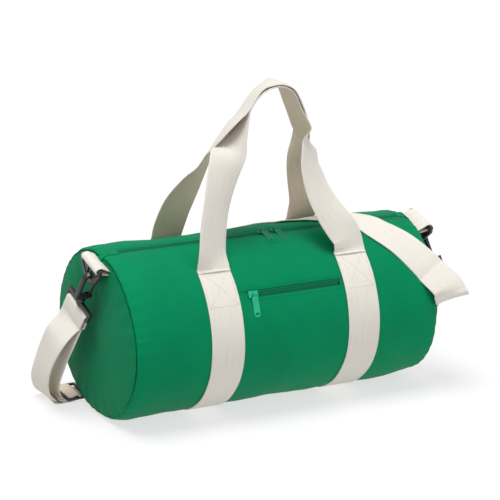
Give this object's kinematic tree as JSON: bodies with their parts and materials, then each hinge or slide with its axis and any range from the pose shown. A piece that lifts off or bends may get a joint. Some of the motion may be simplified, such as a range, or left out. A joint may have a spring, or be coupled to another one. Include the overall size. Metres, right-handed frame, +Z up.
{
  "type": "barrel bag",
  "caption": "Soft barrel bag with webbing grip handles, a two-way top zip, a zipped front pocket and a shoulder strap clipped to both ends.",
  "frame": {"origin": "middle of the flat base, on the floor under the barrel's axis", "axes": "+X along the barrel towards the end where the strap folds over the front, -Y towards the front pocket, +Z up through the handles"},
  "size_m": [0.613, 0.2782, 0.4582],
  "materials": {
    "body_cloth": "plain woven polyester, slightly sheeny green",
    "end_cloth": "plain woven polyester, green",
    "binding_tape": "grosgrain seam tape, dark green",
    "lining_cloth": "thin coated lining, dark green",
    "zip_tape": "woven zip tape, green",
    "zip_teeth": "moulded teeth, green",
    "zip_slider": "enamelled green",
    "zip_pull": "enamelled bright green",
    "webbing": "natural off-white cotton webbing, ribbed",
    "clip_plastic": "moulded black plastic, satin"
  },
  "bodies": {
    "bag": {"barrel_panel": "body_cloth", "end_panel_left": "end_cloth", "end_panel_right": "end_cloth", "seam_binding_left": "binding_tape", "seam_binding_right": "binding_tape", "pocket_panel": "body_cloth", "pocket_lining": "lining_cloth", "main_zip_tape_front": "zip_tape", "main_zip_tape_back": "zip_tape", "main_zip_teeth_front": "zip_teeth", "main_zip_teeth_back": "zip_teeth", "main_zip_ends": "zip_teeth", "pocket_zip_tape_upper": "zip_tape", "pocket_zip_tape_lower": "zip_tape", "pocket_zip_teeth_upper": "zip_teeth", "pocket_zip_teeth_lower": "zip_teeth", "pocket_zip_ends": "zip_teeth", "band_left": "webbing", "band_right": "webbing", "ring_tab_left": "webbing", "ring_tab_right": "webbing", "strap_long": "webbing", "strap_outer": "webbing", "strap_inner": "webbing", "tri_glide": "clip_plastic"},
    "main_slider_left": {"main_slider_left": "zip_slider"},
    "main_slider_right": {"main_slider_right": "zip_slider"},
    "main_pull_left": {"main_pull_left": "zip_pull"},
    "main_pull_right": {"main_pull_right": "zip_pull"},
    "pocket_slider": {"pocket_slider": "zip_slider"},
    "pocket_pull": {"pocket_pull": "zip_pull"},
    "handle_front": {"handle_front": "webbing"},
    "handle_back": {"handle_back": "webbing"},
    "ring_left": {"ring_left": "clip_plastic"},
    "ring_right": {"ring_right": "clip_plastic"},
    "hook_left": {"hook_left": "clip_plastic"},
    "hook_right": {"hook_right": "clip_plastic"},
    "gate_left": {"gate_left": "clip_plastic"},
    "gate_right": {"gate_right": "clip_plastic"},
    "swivel_left": {"swivel_left": "clip_plastic", "strap_fold_left": "webbing"},
    "swivel_right": {"swivel_right": "clip_plastic", "strap_fold_right": "webbing"}
  },
  "joints": [
    {"name": "main_slider_left_run", "type": "slide", "parent": "bag", "child": "main_slider_left", "axis": [1, 0, 0], "range_m": [-0.218, 0]},
    {"name": "main_slider_right_run", "type": "slide", "parent": "bag", "child": "main_slider_right", "axis": [1, 0, 0], "range_m": [0, 0.195]},
    {"name": "main_pull_left_swing", "type": "hinge", "parent": "main_slider_left", "child": "main_pull_left", "pos_m": [0.001, -0.01202, 0.24382], "axis": [-1, 0, 0], "range_deg": [0, 158]},
    {"name": "main_pull_right_swing", "type": "hinge", "parent": "main_slider_right", "child": "main_pull_right", "pos_m": [0.022, -0.01202, 0.24382], "axis": [-1, 0, 0], "range_deg": [0, 158]},
    {"name": "pocket_slider_run", "type": "slide", "parent": "bag", "child": "pocket_slider", "axis": [1, 0, 0], "range_m": [0, 0.129]},
    {"name": "pocket_pull_swing", "type": "hinge", "parent": "pocket_slider", "child": "pocket_pull", "pos_m": [-0.0605, -0.10635, 0.18545], "axis": [-1, 0, 0], "range_deg": [0, 158]},
    {"name": "handle_front_fall", "type": "hinge", "parent": "bag", "child": "handle_front", "pos_m": [0, -0.07547, 0.21915], "axis": [1, 0, 0], "range_deg": [0, 95]},
    {"name": "handle_back_fall", "type": "hinge", "parent": "bag", "child": "handle_back", "pos_m": [0, 0.07547, 0.21915], "axis": [1, 0, 0], "range_deg": [-95, 0]},
    {"name": "ring_left_swing", "type": "hinge", "parent": "bag", "child": "ring_left", "pos_m": [-0.264, -0.017, 0.229], "axis": [0, 0.9744, 0.225], "range_deg": [-4, 35]},
    {"name": "ring_right_swing", "type": "hinge", "parent": "bag", "child": "ring_right", "pos_m": [0.264, -0.017, 0.229], "axis": [0, -0.9744, -0.225], "range_deg": [-4, 35]},
    {"name": "hook_left_swing", "type": "hinge", "parent": "ring_left", "child": "hook_left", "pos_m": [-0.264, -0.01138, 0.20464], "axis": [0, 0.9744, 0.225], "range_deg": [0, 25]},
    {"name": "hook_right_swing", "type": "hinge", "parent": "ring_right", "child": "hook_right", "pos_m": [0.264, -0.01138, 0.20464], "axis": [0, -0.9744, -0.225], "range_deg": [0, 25]},
    {"name": "swivel_left_turn", "type": "hinge", "parent": "hook_left", "child": "swivel_left", "pos_m": [-0.264, -0.01138, 0.20464], "axis": [0.15, -0.4491, 0.8808], "range_deg": [-20, 20], "deforming": ["strap_outer", "strap_inner"]},
    {"name": "swivel_right_turn", "type": "hinge", "parent": "hook_right", "child": "swivel_right", "pos_m": [0.264, -0.01138, 0.20464], "axis": [-0.15, 0.4491, 0.8808], "range_deg": [-20, 20], "deforming": ["strap_long"]},
    {"name": "gate_left_open", "type": "hinge", "parent": "hook_left", "child": "gate_left", "pos_m": [-0.25849, 0.00428, 0.17706], "axis": [0.1363, -0.873, -0.4683], "range_deg": [0, 25], "stiffness_Nm_per_rad": 0.02, "springref_deg": -9.74},
    {"name": "gate_right_open", "type": "hinge", "parent": "hook_right", "child": "gate_right", "pos_m": [0.25849, -0.02704, 0.17706], "axis": [-0.1363, 0.873, -0.4683], "range_deg": [0, 25], "stiffness_Nm_per_rad": 0.02, "springref_deg": -9.74}
  ]
}
